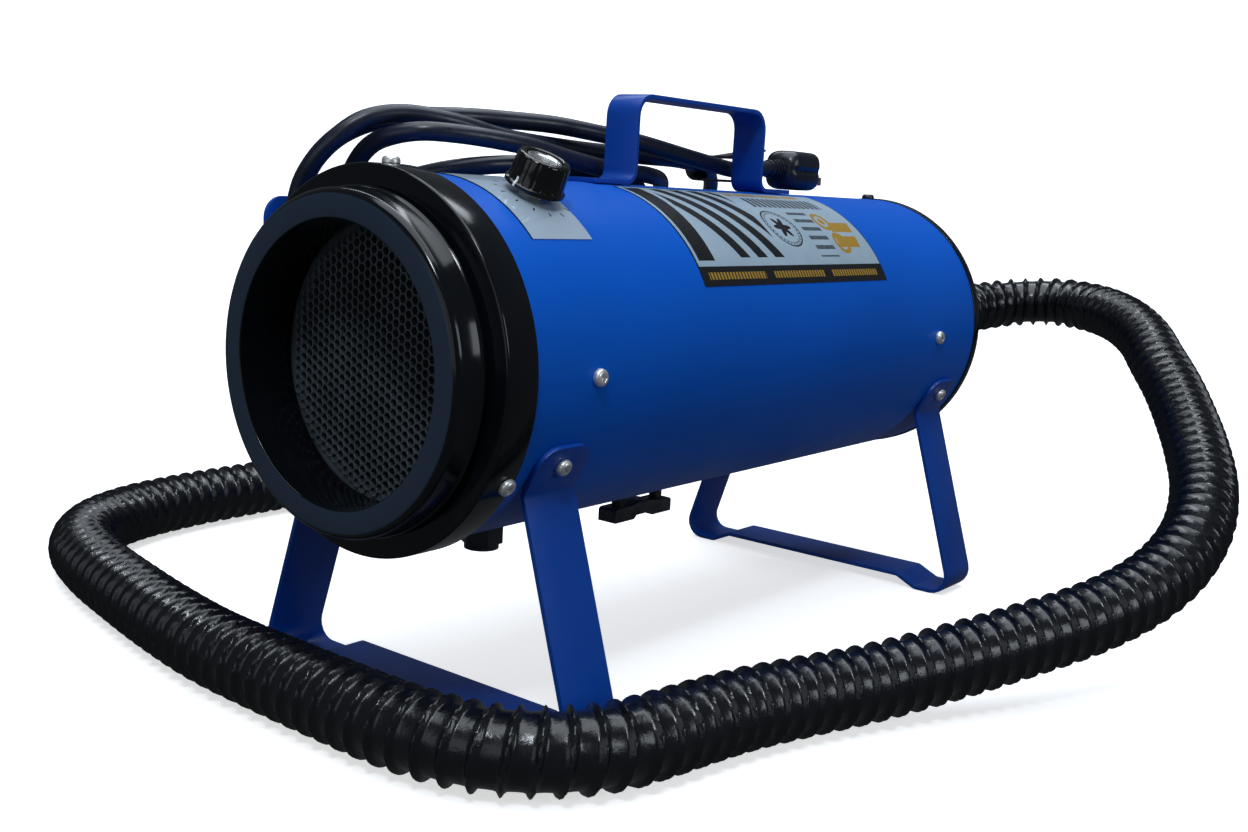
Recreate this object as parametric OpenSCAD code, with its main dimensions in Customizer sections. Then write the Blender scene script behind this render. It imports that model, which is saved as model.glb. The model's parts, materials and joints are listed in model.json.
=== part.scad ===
// Pet dryer: a tubular blower on two strap legs, with its hose and its mains lead.
// X is across, Y runs from the air intake at -Y to the outlet at +Y, and Z is up.
// A station is a distance along Y from the intake face. Angles round the tube
// start at +X and turn towards +Z.

/* [Housing] */
// Outside diameter of the painted tube
tube_d = 203; // [201:1:205]
// Wall of the tube
tube_wall = 1.5; // [1.2:0.1:1.8]
// Height of the tube's axis above the floor
axis_h = 203; // [198:1:210]
// Overall length from the intake face to the end of the outlet spigot
length_all = 630; // [626:1:640]

/* [Intake] */
// Bore of the intake
bore_d = 152; // [148:1:154]
// Diameter of the nose ring
nose_d = 184; // [182:1:186]
// Outside diameter of the flange over the tube's end
flange_d = 210.6; // [210:0.2:212]
// Spacing of the screen's hexagonal cells
cell_pitch = 13; // [12:0.5:16]

/* [Legs and handle] */
// Width of a leg strap
leg_w = 41; // [36:1:42]
// Thickness of the leg and handle straps
strap_t = 3; // [2.5:0.5:3.5]
// Half the distance between the outer faces of a leg's feet
foot_half = 129; // [128:0.2:130]
// Width of the handle strap
handle_w = 25.4; // [22:0.2:26]
// Height of the handle above the tube
handle_rise = 57.5; // [50:0.5:62]

/* [Speed control] */
// Diameter of the knob's grip
knob_d = 31; // [28:1:33]
// Angle of the knob round the tube
knob_angle = 66; // [64:1:68]

/* [Motors] */
// Diameter of a fan housing
fan_d = 146; // [140:1:148]
// Outside diameter of a stator
stator_d = 90; // [86:1:94]
// Diameter of a motor shaft
shaft_d = 8; // [7:0.5:9]

/* [Hose and lead] */
// Outside diameter of the hose over its ridges
hose_d = 46.5; // [46:0.1:47]
// Outside diameter of the outlet spigot
spigot_d = 46; // [44:0.5:47]
// Outside diameter of the mains lead
lead_d = 11.5; // [11:0.1:11.6]

/* [Hidden] */
$fn = 64;
tube_r = tube_d / 2;
tube_in = tube_r - tube_wall;
bore_r = bore_d / 2;
nose_r = nose_d / 2;
flange_r = flange_d / 2;
gap = 0.1;
// Stations along the body
flange_at = 21.4;
tube_front = 26;
flange_end = 44.2;
screen_at = 36;
hub_end = 50;
tube_rear = 575.3;
plate_end = 584;
cuff_at = 590;
cuff_end = 700;
front_leg_at = 79.5;
rear_leg_at = 539;
handle_front_at = 234;
handle_rear_at = 382;
knob_at = 103.5;
front_mount_at = 92;
rear_mount_at = 506;
mount_t = 8;
breaker_at = 119;
clamp_front_at = 251.5;
clamp_rear_at = 293.5;
gland_at = 150;
gland_angle = 197;
gland_hole_r = 8;
gland_reach = 133.8;
// Screws
screw_r = 2.4;
screw_hole_r = 2.5;
head_r = 5;
head_h = 4;
flush_r = 4.9;
flange_screw_at = 38;
flange_screw_angles = [90, 210, 330];
plate_screw_at = 569;
plate_screw_angles = [90, 180, 270];
mount_screw_angles = [0, 120, 240];
mount_screw_ats = [front_mount_at + mount_t / 2, rear_mount_at + mount_t / 2];
leg_screw_angles = [-27, 207];
ear_top = 12.5;
ear_drop = 17.5;
ear_round = 13;
hook_ats = [70, 262];
hook_w = 30;
hook_t = 2.5;
hook_angle = 189;
hook_reach = 127.4;
// Knob, from the tube's surface outwards
knob_foot = 4.4;
knob_top = 22.8;
skirt_r = knob_d / 2 + 1.8;
control_shaft_r = 3;
disc_r = 10;
disc_t = 1.2;
plate_t = 0.5;
label_t = 0.25;
// Motor: lengths along the shaft from the mount ring
fan_len = 46;
fan_wall = 1.6;
stator_len = 55;
stator_bore_r = 24;
armature_r = 23;
impeller_r = fan_d / 2 - fan_wall - 4;
shaft_r = shaft_d / 2;
bearing_r = 11;
bearing_t = 7;
bearing_fit = 0.05;
frame_r = stator_d / 2;
motor_len = fan_len + stator_len + 28;
gasket_t = 3;
hose_r = hose_d / 2;
lead_r = lead_d / 2;
// Middle of the hose, as [X, station, Z], from the cuff to the nozzle
hose_route = [
    [0, 700, 203], [0, 745, 203], [6, 789, 207], [29, 825, 213], [67, 841, 217],
    [109, 832, 215], [147, 801, 209], [179, 762, 198], [204, 722, 184], [230, 684, 167],
    [254, 642, 150], [277, 595, 134], [297, 548, 116], [308, 504, 97], [308, 464, 79],
    [299, 424, 64], [282, 381, 52], [258, 335, 42], [232, 286, 33], [207, 238, 26],
    [187, 192, 24], [174, 152, 24], [167, 120, 24], [162, 92, 24], [155, 62, 24],
    [140, 35, 24], [116, 14, 24], [86, 3, 24], [52, -1, 24], [8, -1, 24],
    [-42, 0, 24], [-102, 3, 24], [-165, 13, 24], [-230, 27, 24], [-290, 42, 24],
    [-341, 62, 24], [-380, 95, 24], [-404, 140, 24], [-415, 195, 24], [-418, 250, 24],
    [-418, 350, 24], [-416, 450, 24], [-412, 550, 24], [-410, 640, 24], [-410, 730, 24]];
// Middle of the mains lead, as [X, station, Z]: up from its strain relief, behind the
// front hook, then three turns through both hooks, then along the handle to the plug
lead_route = [
    [-128.2, 150, 163.8], [-150, 150, 157.2], [-172, 147, 157], [-190, 141, 167],
    [-200, 134, 184], [-200, 128, 205], [-192, 123, 225], [-178, 120, 243],
    [-161, 118, 259], [-142, 118, 273], [-122, 119, 285], [-101, 122, 294], [-80, 128, 301],
    [-60, 138, 307], [-45, 155, 311], [-37, 178, 313], [-36, 205, 313], [-36, 235, 311],
    [-40, 280, 309], [-52, 322, 302], [-73, 345, 286], [-96, 350, 263], [-110, 336, 243],
    [-111, 308, 230], [-109, 262, 227], [-109, 150, 227], [-110, 124, 234],
    [-111, 109, 252], [-109, 102, 272], [-105, 99, 292], [-97, 98, 307.5], [-83, 98, 319.5],
    [-66, 100, 325.5], [-51, 108, 328.5], [-40, 124, 328.5], [-31, 145, 327],
    [-25, 174, 324], [-22, 212, 318], [-22, 256, 313], [-30, 302, 312], [-46, 340, 308],
    [-70, 366, 294], [-96, 372, 268], [-111, 354, 239], [-109, 318, 218], [-108, 262, 214],
    [-108, 150, 214], [-109, 112, 217], [-112, 89, 229], [-114, 74, 248], [-114, 67, 270],
    [-110, 67, 292], [-99, 69, 309], [-88, 76, 322.5], [-79, 90, 334], [-69, 111, 338.5],
    [-56, 138, 336], [-48, 177, 329], [-48, 240, 326], [-50, 320, 325], [-51, 376, 324],
    [-60, 420, 317], [-78, 448, 299], [-100, 455, 272], [-117, 437, 245], [-122, 400, 225],
    [-121, 340, 215], [-120, 262, 214], [-120, 150, 214], [-120, 118, 220], [-120, 97, 236],
    [-120, 83, 258], [-120, 76, 280], [-117, 79, 302], [-107, 90, 321], [-92, 106, 333],
    [-77, 128, 338], [-64, 155, 340], [-56, 188, 340.5], [-46, 220, 340], [-36, 252, 337],
    [-28, 290, 333], [-22, 340, 326], [-20, 392, 320], [-20, 416, 320.5],
    [-20, 440, 323]];
spigot_r = spigot_d / 2;
spigot_wall = 2.5;

// Turns a station into a place along Y.
function st(y) = y - length_all / 2;

// Puts children on the tube's axis at a station, with their Z along +Y.
module on_axis(y) {
    translate([0, st(y), axis_h])
        rotate([-90, 0, 0])
            children();
}

// Puts children at an angle round the tube and a station, r out from the axis,
// with their Z pointing outwards and their Y along +Y.
module radial(angle, y, r = 0) {
    translate([0, st(y), axis_h])
        rotate([0, 90 - angle, 0])
            translate([0, 0, r])
                children();
}

module ring(r_out, r_in, h) {
    difference() {
        cylinder(r = r_out, h = h);
        translate([0, 0, -1])
            cylinder(r = r_in, h = h + 2);
    }
}

// Directions and points of a strip that is bent at each inner point of a path.
function unit(v) = v / norm(v);
function heading(v) = atan2(v[1], v[0]);
function left_of(a) = [-sin(a), cos(a)];
function bend_samples(a, b, c, r, n) =
    let (u = unit(b - a), v = unit(c - b), start = heading(u))
    let (turn = atan2(u[0] * v[1] - u[1] * v[0], u * v), s = sign(turn))
    let (centre = b - u * r * tan(abs(turn) / 2) + s * r * left_of(start))
    [for (k = [0:n]) let (w = start + turn * k / n) [centre - s * r * left_of(w), w]];
function path_samples(p, r, n) =
    let (last = len(p) - 1)
    concat(
        [[p[0], heading(p[1] - p[0])]],
        [for (i = [1:last - 1]) each bend_samples(p[i - 1], p[i], p[i + 1], r[i], n)],
        [[p[last], heading(p[last] - p[last - 1])]]);
function strip(p, r, t, n = 6) =
    let (s = path_samples(p, r, n))
    concat(
        [for (q = s) q[0] + t / 2 * left_of(q[1])],
        [for (i = [len(s) - 1:-1:0]) s[i][0] - t / 2 * left_of(s[i][1])]);

// Extrudes an outline drawn across X and Z, centred on a station.
module across(y, w) {
    translate([0, st(y) + w / 2, 0])
        rotate([90, 0, 0])
            linear_extrude(w)
                children();
}

// Extrudes an outline drawn along Y and Z, centred on X = 0.
module along(w) {
    translate([-w / 2, 0, 0])
        rotate([90, 0, 90])
            linear_extrude(w)
                children();
}

// A button-head screw with a hexagon socket: head above Z = 0, shank below.
module button_screw(shank) {
    difference() {
        union() {
            rotate_extrude()
                polygon([
                    [0, 0], [head_r, 0], [head_r, head_h * 0.45], [head_r * 0.93, head_h * 0.72],
                    [head_r * 0.78, head_h * 0.92], [head_r * 0.62, head_h], [0, head_h]]);
            translate([0, 0, -shank])
                cylinder(r = screw_r, h = shank + 1);
        }
        translate([0, 0, head_h - 2.2])
            cylinder(r = 2.3, h = 3, $fn = 6);
    }
}

module screw_hole(angle, y, r_in, r_out) {
    radial(angle, y, r_in)
        cylinder(r = screw_hole_r, h = r_out - r_in);
}

module flange_screw_holes() {
    for (a = flange_screw_angles)
        screw_hole(a, flange_screw_at, tube_in - 10, flange_r + 2);
}

module plate_screw_holes() {
    for (a = plate_screw_angles)
        screw_hole(a, plate_screw_at, tube_in - 10, tube_r + 2);
}

module mount_screw_holes() {
    for (y = mount_screw_ats)
        for (a = mount_screw_angles)
            screw_hole(a, y, tube_in - 14, tube_r + 2);
}

// ---- Housing ----

module housing_tube() {
    color("royalblue")
        difference() {
            on_axis(tube_front)
                ring(tube_r, tube_in, tube_rear - tube_front);
            flange_screw_holes();
            plate_screw_holes();
            mount_screw_holes();
            for (y = [front_leg_at, rear_leg_at])
                for (a = leg_screw_angles)
                    screw_hole(a, y, tube_in - 2, tube_r + 2);
            for (y = hook_ats)
                screw_hole(hook_angle, y, tube_in - 2, tube_r + 2);
            for (y = handle_screw_ats)
                screw_hole(90, y, tube_in - 2, tube_r + 2);
            radial(knob_angle, knob_at, tube_in - 5)
                cylinder(r = 5, h = 12);
            radial(gland_angle, gland_at, tube_in - 5)
                cylinder(r = gland_hole_r, h = 12);
            radial(270, breaker_at, tube_in - 5)
                cylinder(r = 6.1, h = 12);
            for (y = [clamp_front_at, clamp_rear_at])
                radial(270, y, tube_in - 5)
                    cylinder(r = 3.1, h = 12);
        }
}

module intake_flange() {
    sleeve = 80.2;
    color("black")
        difference() {
            on_axis(flange_at)
                rotate_extrude()
                    polygon([
                        [sleeve, 0], [flange_r - 1.6, 0], [flange_r - 0.5, 0.5], [flange_r, 1.6],
                        [flange_r, flange_end - flange_at - 0.8],
                        [flange_r - 0.8, flange_end - flange_at], [tube_r + gap, flange_end - flange_at],
                        [tube_r + gap, tube_front - flange_at], [tube_in - gap, tube_front - flange_at],
                        [tube_in - gap, hub_end - flange_at], [95, hub_end - flange_at],
                        [95, tube_front - flange_at], [84, tube_front - flange_at],
                        [84, hub_end - flange_at], [bore_r, hub_end - flange_at],
                        [bore_r, hub_end - flange_at - 3], [sleeve, hub_end - flange_at - 3]]);
            flange_screw_holes();
        }
}

module intake_nose() {
    sleeve = 80;
    color("black")
        on_axis(0)
            rotate_extrude()
                polygon([
                    [bore_r, 1], [bore_r + 1, 0], [85.6, 0], [88.6, 0.25], [90.8, 1], [nose_r, 2.4],
                    [nose_r + 0.4, 15.8], [nose_r + 1.6, 17], [nose_r + 1.6, 18.2],
                    [nose_r - 1, 18.6], [nose_r - 1, flange_at], [sleeve, flange_at],
                    [sleeve, screen_at], [bore_r + 1.2, screen_at], [bore_r + 1.2, screen_at - 4],
                    [bore_r, screen_at - 4]]);
}

module intake_screen() {
    rows = floor(72 / cell_pitch);
    column = cell_pitch * sqrt(3) / 2;
    columns = floor(72 / column);
    color("dimgray")
        on_axis(screen_at)
            difference() {
                cylinder(r = 80, h = 3);
                for (i = [-columns:columns])
                    for (j = [-rows:rows])
                        let (p = [i * column, (j + abs(i % 2) / 2) * cell_pitch])
                            if (norm(p) < bore_r - cell_pitch / 2 - 1)
                                translate([p[0], p[1], -1])
                                    cylinder(r = cell_pitch * 0.5, h = 5, $fn = 6);
            }
}

module filter_foam() {
    color("darkslategray")
        on_axis(screen_at + 3)
            cylinder(r = 80, h = hub_end - 3 - screen_at - 3);
}

module flange_screws() {
    color("silver")
        for (a = flange_screw_angles)
            radial(a, flange_screw_at, flange_r)
                button_screw(9.5);
}

module end_plate() {
    color("black")
        difference() {
            on_axis(tube_rear)
                rotate_extrude()
                    polygon([
                        [spigot_r + 0.1, 3], [tube_r - 8, 3], [tube_r - 8, -18], [tube_in - gap, -18],
                        [tube_in - gap, 0], [tube_r + 0.6, 0], [tube_r + 0.9, 0.5],
                        [tube_r + 0.9, 7.7], [tube_r, 8.7], [spigot_r + 0.1, 8.7]]);
            plate_screw_holes();
        }
}

module end_plate_screws() {
    color("silver")
        for (a = plate_screw_angles)
            radial(a, plate_screw_at, tube_r)
                button_screw(7.5);
}

module outlet_spigot() {
    color("black")
        on_axis(tube_rear + 3)
            rotate_extrude()
                polygon([
                    [spigot_r - spigot_wall, -4], [spigot_r + 12, -4], [spigot_r + 12, 0],
                    [spigot_r, 0], [spigot_r, length_all - tube_rear - 4],
                    [spigot_r - 1, length_all - tube_rear - 3],
                    [spigot_r - spigot_wall, length_all - tube_rear - 3]]);
}

// ---- Legs and handle ----

// A point on an ear's middle plane, s up from the ear's screw.
function ear_point(s) =
    let (a = leg_screw_angles[0], r = tube_r + strap_t / 2)
    [r * cos(a) - s * sin(a), axis_h + r * sin(a) + s * cos(a)];
leg_side = [
    ear_point(ear_top), ear_point(-ear_drop), [foot_half - strap_t / 2, strap_t / 2],
    [foot_half - 32, strap_t / 2], [foot_half - 48, strap_t / 2 + 7.5],
];
leg_side_bends = [0, 6, 13, 6, 6];
leg_path = concat(leg_side, [for (i = [len(leg_side) - 1:-1:0]) [-leg_side[i][0], leg_side[i][1]]]);
leg_bends = concat(leg_side_bends, [for (i = [len(leg_side) - 1:-1:0]) leg_side_bends[i]]);

// Cuts the two upper corners of an ear to a radius.
module ear_corners(y) {
    for (a = leg_screw_angles)
        for (s = [-1, 1])
            radial(a, y, tube_r - 1)
                scale([a < 0 ? 1 : -1, s, 1])
                    translate([-ear_top, leg_w / 2, 0])
                        linear_extrude(strap_t + 2)
                            difference() {
                                translate([-1, -ear_round])
                                    square([ear_round + 1, ear_round + 1]);
                                translate([ear_round, -ear_round])
                                    circle(r = ear_round);
                            }
}

module leg(y) {
    difference() {
        across(y, leg_w)
            polygon(strip(leg_path, leg_bends, strap_t));
        ear_corners(y);
        for (a = leg_screw_angles)
            screw_hole(a, y, tube_in - 2, tube_r + strap_t + 2);
    }
}

module front_leg() {
    color("mediumblue")
        leg(front_leg_at);
}

module rear_leg() {
    color("mediumblue")
        leg(rear_leg_at);
}

module leg_screws() {
    color("silver")
        for (y = [front_leg_at, rear_leg_at])
            for (a = leg_screw_angles)
                radial(a, y, tube_r + strap_t)
                    button_screw(8);
}

handle_foot = 40;
handle_base = axis_h + tube_r + strap_t / 2;
handle_top = axis_h + tube_r + handle_rise - strap_t / 2;
handle_screw_ats = [handle_front_at - handle_foot + 12, handle_rear_at + handle_foot - 12];

// A screw whose head lies flush with Z = 0 in a countersink in the strap.
module flush_screw(shank, r_head, r_shank) {
    difference() {
        rotate_extrude()
            polygon([
                [0, -shank], [r_shank, -shank], [r_shank, r_shank - r_head],
                [r_head, 0], [0, 0]]);
        translate([0, 0, -1.5])
            cylinder(r = 1.8, h = 2, $fn = 6);
    }
}

module handle() {
    path = [
        [st(handle_front_at) - handle_foot, handle_base], [st(handle_front_at), handle_base],
        [st(handle_front_at), handle_top], [st(handle_rear_at), handle_top],
        [st(handle_rear_at), handle_base], [st(handle_rear_at) + handle_foot, handle_base]];
    color("mediumblue")
        difference() {
            along(handle_w)
                polygon(strip(path, [0, 8, 13, 13, 8, 0], strap_t));
            for (y = handle_screw_ats) {
                screw_hole(90, y, tube_in - 2, tube_r + strap_t + 2);
                radial(90, y, tube_r + strap_t)
                    translate([0, 0, screw_hole_r - flush_r])
                        cylinder(r1 = screw_hole_r, r2 = flush_r + 1, h = flush_r + 1 - screw_hole_r);
            }
        }
}

module handle_screws() {
    color("silver")
        for (y = handle_screw_ats)
            radial(90, y, tube_r + strap_t)
                flush_screw(8, flush_r - 0.1, screw_r);
}

// ---- Labels and speed control ----

// A thin skin on the tube between two angles and two stations.
module skin(t, y1, y2, a1, a2) {
    translate([0, st(y2), axis_h])
        rotate([90, 0, 0])
            rotate([0, 0, a1])
                rotate_extrude(angle = a2 - a1, $fn = 180)
                    translate([tube_r, 0])
                        square([t, y2 - y1]);
}

module control_plate() {
    color("aliceblue")
        difference() {
            skin(plate_t, 70, 119, 44, 92);
            radial(knob_angle, knob_at, tube_r - 2)
                cylinder(r = 5, h = 5);
        }
}

module side_label() {
    color("lightsteelblue")
        skin(label_t, 205, 436, 26, 80);
}

module knob() {
    color("black")
        radial(knob_angle, knob_at, tube_r)
            difference() {
                rotate_extrude()
                    polygon([
                        [0, knob_foot], [skirt_r, knob_foot], [skirt_r, knob_foot + 2.6],
                        [knob_d / 2 + 0.6, knob_foot + 4], [knob_d / 2, knob_top - 1.2],
                        [knob_d / 2 - 1, knob_top], [disc_r + 1.4, knob_top],
                        [disc_r + 0.1, knob_top - 1], [disc_r + 0.1, knob_top - 1 - disc_t],
                        [0, knob_top - 1 - disc_t]]);
                translate([0, 0, knob_foot - 1])
                    cylinder(r = control_shaft_r, h = 12);
            }
}

module knob_disc() {
    color("silver")
        radial(knob_angle, knob_at, tube_r + knob_top - 1 - disc_t)
            cylinder(r = disc_r, h = disc_t);
}

module control_shaft() {
    color("silver")
        radial(knob_angle, knob_at, tube_r - 13.9)
            cylinder(r = control_shaft_r, h = 13.9 + knob_foot + 11);
}

module speed_control() {
    color("darkslategray")
        radial(knob_angle, knob_at, tube_r)
            difference() {
                union() {
                    translate([0, 0, -tube_wall - 22])
                        cylinder(r = 15, h = 20);
                    translate([-11, -14, -tube_wall - 25])
                        cube([22, 28, 3]);
                    translate([0, 0, -tube_wall - 3])
                        cylinder(r = 4.9, h = tube_wall + 3 + 3.6);
                }
                translate([0, 0, -14])
                    cylinder(r = control_shaft_r + 0.05, h = 30);
            }
}

module control_nut() {
    color("silver")
        radial(knob_angle, knob_at, tube_r + plate_t)
            difference() {
                cylinder(r = 7.4, h = 2.4, $fn = 6);
                translate([0, 0, -1])
                    cylinder(r = 4.95, h = 5);
            }
}

// ---- Cord hooks, breaker and belly clamp ----

module cord_hooks() {
    a = hook_angle;
    r = tube_r + hook_t / 2;
    function foot(s) = [r * cos(a) - s * sin(a), axis_h + r * sin(a) + s * cos(a)];
    path = [foot(15), foot(-14), [-hook_reach, 205.5], [-hook_reach, 286]];
    color("mediumblue")
        for (y = hook_ats)
            difference() {
                across(y, hook_w)
                    polygon(strip(path, [0, 4, 7, 0], hook_t));
                screw_hole(a, y, tube_in - 2, tube_r + hook_t + 2);
                for (s = [-1, 1])
                    translate([-140, st(y), 286 - ear_round])
                        scale([1, s, 1])
                            rotate([90, 0, 90])
                                linear_extrude(20)
                                    difference() {
                                        translate([hook_w / 2 - ear_round, 0])
                                            square(ear_round + 1);
                                        translate([hook_w / 2 - ear_round, 0])
                                            circle(r = ear_round);
                                    }
            }
}

module hook_screws() {
    color("silver")
        for (y = hook_ats)
            radial(hook_angle, y, tube_r + hook_t)
                button_screw(7.5);
}

module breaker_body() {
    color("dimgray")
        radial(270, breaker_at, 0)
            union() {
                translate([-9, -15, tube_in - 25])
                    cube([18, 30, 23]);
                translate([0, 0, tube_in - 3])
                    cylinder(r = 6, h = tube_wall + 3 + 6);
            }
}

module breaker_cap() {
    color("black")
        radial(270, breaker_at, tube_r)
            difference() {
                union() {
                    rotate([0, 0, 30])
                        cylinder(r = 13, h = 13, $fn = 6);
                    cylinder(r = 10.5, h = 16.5);
                }
                translate([0, 0, -1])
                    cylinder(r = 6.05, h = 7.2);
            }
}

module belly_clamp() {
    span = clamp_rear_at - clamp_front_at;
    color("dimgray")
        translate([0, st(clamp_front_at), axis_h - tube_r])
            difference() {
                along(15)
                    polygon([
                        [-11.5, -20.5], [-11.5, -12.5], [-9.5, -11], [6, -11], [12, -9.5],
                        [span - 14, -9.5], [span - 7, -11], [span + 7.5, -11], [span + 9, -12.5],
                        [span + 9, -20.5], [span - 12, -20.5], [span - 15, -18], [12, -18],
                        [9, -20.5]]);
                for (y = [0, span])
                    translate([0, y, -25])
                        cylinder(r = 3.05, h = 20);
            }
}

module belly_clamp_studs() {
    color("gray")
        for (y = [clamp_front_at, clamp_rear_at])
            translate([0, st(y), axis_h - tube_r])
                union() {
                    translate([0, 0, -20.5])
                        cylinder(r = 3, h = 28);
                    translate([0, 0, -11])
                        cylinder(r = 4.4, h = 10.9);
                    translate([0, 0, tube_wall + 0.2])
                        cylinder(r = 5.5, h = 4, $fn = 6);
                }
}

// ---- Motors ----
// A motor is drawn along +Z from its mount ring; the rear one is turned round.

module motor_place(rear) {
    if (rear)
        translate([0, st(rear_mount_at + mount_t), axis_h])
            rotate([90, 0, 0])
                children();
    else
        on_axis(front_mount_at)
            children();
}

module mount_ring(rear) {
    color("gray")
        difference() {
            motor_place(rear)
                ring(tube_in - gap, 40, mount_t);
            mount_screw_holes();
            if (!rear)
                radial(knob_angle, knob_at, 74)
                    cylinder(r = 18.2, h = 30);
        }
}

module fan_housing(rear) {
    color("silver")
        motor_place(rear)
            translate([0, 0, mount_t + gasket_t])
                rotate_extrude()
                    polygon([
                        [40, 0], [fan_d / 2, 0], [fan_d / 2, fan_len], [frame_r + gap, fan_len],
                        [frame_r + gap, fan_len - fan_wall], [fan_d / 2 - fan_wall, fan_len - fan_wall],
                        [fan_d / 2 - fan_wall, fan_wall], [40, fan_wall]]);
}

module motor_gasket(rear) {
    motor_place(rear)
        translate([0, 0, mount_t])
            ring(fan_d / 2, 42, gasket_t);
}

module motor_frame(rear) {
    base = mount_t + gasket_t + fan_len;
    color("dimgray")
        motor_place(rear)
            translate([0, 0, base])
                difference() {
                    union() {
                        translate([0, 0, -fan_wall])
                            ring(frame_r, bearing_r, 5);
                        translate([0, 0, 3])
                            ring(frame_r, frame_r - 3, stator_len + 14);
                        translate([0, 0, stator_len + 17])
                            ring(frame_r, bearing_r, 5);
                        translate([0, 0, stator_len + 17])
                            ring(bearing_r + 3, bearing_r, bearing_t + 2);
                    }
                    for (a = [0:60:300])
                        rotate([0, 0, a])
                            translate([26, 0, stator_len + 12])
                                cylinder(r = 7, h = 20);
                    for (a = [90, 270])
                        rotate([0, 0, a])
                            translate([30, -5, stator_len + 4.5])
                                cube([20, 10, 8]);
                }
}

module stator(rear) {
    base = mount_t + gasket_t + fan_len + 7;
    color("silver")
        motor_place(rear)
            translate([0, 0, base])
                ring(frame_r - 3.2, stator_bore_r, stator_len - 6);
}

module rotor(rear) {
    base = mount_t + gasket_t;
    color("silver")
        motor_place(rear)
            union() {
                translate([0, 0, base + 10])
                    cylinder(r = shaft_r, h = motor_len - 8);
                translate([0, 0, base + fan_len + 9])
                    cylinder(r = armature_r, h = stator_len - 10);
                translate([0, 0, base + fan_len + stator_len + 2])
                    cylinder(r = 13, h = 11);
            }
}

module impeller(rear) {
    base = mount_t + gasket_t + fan_wall + 5;
    blades = 9;
    color("gainsboro")
        motor_place(rear)
            translate([0, 0, base])
                difference() {
                    union() {
                        ring(impeller_r, 32, 1.5);
                        translate([0, 0, 22])
                            cylinder(r = impeller_r, h = 1.5);
                        translate([0, 0, 10])
                            cylinder(r = 9, h = 13);
                        for (i = [0:blades - 1])
                            rotate([0, 0, i * 360 / blades])
                                translate([30, 0, 1])
                                    rotate([0, 0, 28])
                                        cube([36, 1.4, 21.5]);
                    }
                    translate([0, 0, -1])
                        cylinder(r = shaft_r, h = 40);
                }
}

module bearings(rear) {
    base = mount_t + gasket_t + fan_len;
    color("silver")
        motor_place(rear) {
            translate([0, 0, base - 3.4])
                ring(bearing_r, shaft_r + bearing_fit, bearing_t);
            translate([0, 0, base + stator_len + 18])
                ring(bearing_r, shaft_r + bearing_fit, bearing_t);
        }
}

module brushes(rear) {
    base = mount_t + gasket_t + fan_len + stator_len + 5;
    color("black")
        motor_place(rear)
            for (a = [90, 270])
                rotate([0, 0, a])
                    translate([13.3, -4, base])
                        cube([36, 8, 7]);
}

module front_mount_ring() { mount_ring(false); }
module rear_mount_ring() { mount_ring(true); }
module front_fan_housing() { fan_housing(false); }
module rear_fan_housing() { fan_housing(true); }
module front_motor_frame() { motor_frame(false); }
module rear_motor_frame() { motor_frame(true); }
module front_stator() { stator(false); }
module rear_stator() { stator(true); }
module front_rotor() { rotor(false); }
module rear_rotor() { rotor(true); }
module front_impeller() { impeller(false); }
module rear_impeller() { impeller(true); }
module front_bearings() { bearings(false); }
module rear_bearings() { bearings(true); }
module front_brushes() { brushes(false); }
module rear_brushes() { brushes(true); }

module mount_gaskets() {
    color("black") {
        motor_gasket(false);
        motor_gasket(true);
    }
}

module mount_screws() {
    color("silver")
        for (y = mount_screw_ats)
            for (a = mount_screw_angles)
                radial(a, y, tube_r)
                    button_screw(11);
}

// ---- Hose, lead and what is on them ----

// Sweeps a round tube along a route of [X, station, Z] points.
module route_tube(route, r, sides) {
    p = [for (q = route) [q[0], st(q[1]), q[2]]];
    last = len(p) - 1;
    t = [for (i = [0:last]) unit(p[min(i + 1, last)] - p[max(i - 1, 0)])];
    n = [for (i = 0, v = unit(cross(t[0], [0.2, 0.3, 1])); i <= last;
              i = i + 1, v = i <= last ? unit(v - (v * t[i]) * t[i]) : v) v];
    points = [
        for (i = [0:last])
            for (k = [0:sides - 1])
                let (a = k * 360 / sides)
                    p[i] + r * (cos(a) * n[i] + sin(a) * cross(t[i], n[i]))];
    sides_faces = [
        for (i = [0:last - 1])
            for (k = [0:sides - 1])
                let (a = i * sides + k, b = i * sides + (k + 1) % sides)
                    each [[a, a + sides, b], [b, a + sides, b + sides]]];
    start_face = [for (k = [0:sides - 1]) k];
    end_face = [for (k = [sides - 1:-1:0]) last * sides + k];
    polyhedron(points, concat(sides_faces, [start_face, end_face]));
}

module hose() {
    color("black")
        route_tube(hose_route, hose_r, 12);
}

module mains_lead() {
    color("midnightblue")
        route_tube(lead_route, lead_r, 8);
}

module hose_cuff() {
    color("black")
        on_axis(cuff_at)
            rotate_extrude()
                polygon([
                    [spigot_r + 0.1, 0], [28, 0], [28.5, 1], [28.5, 7], [26, 10],
                    [26, cuff_end - cuff_at - 22], [23.6, cuff_end - cuff_at - 14],
                    [23.6, cuff_end - cuff_at], [19, cuff_end - cuff_at],
                    [19, 42], [spigot_r + 0.1, 42]]);
}

module nozzle() {
    place = hose_route[len(hose_route) - 1];
    color("black")
        translate([place[0], st(place[1]), place[2]])
            rotate([-90, 0, 0])
                rotate_extrude()
                    polygon([
                        [17, 0], [23.6, 0], [23.6, 34], [22.4, 36], [13, 96], [13, 104],
                        [10.5, 104], [10.5, 96], [17, 40]]);
}

module strain_relief() {
    color("black")
        radial(gland_angle, gland_at)
            rotate_extrude()
                polygon([
                    [0, tube_in - 6], [gland_hole_r - 0.1, tube_in - 6],
                    [gland_hole_r - 0.1, tube_r + 1.2], [11, tube_r + 1.2], [11, tube_r + 3.6],
                    [9.4, tube_r + 5], [7, gland_reach], [0, gland_reach]]);
}

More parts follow.
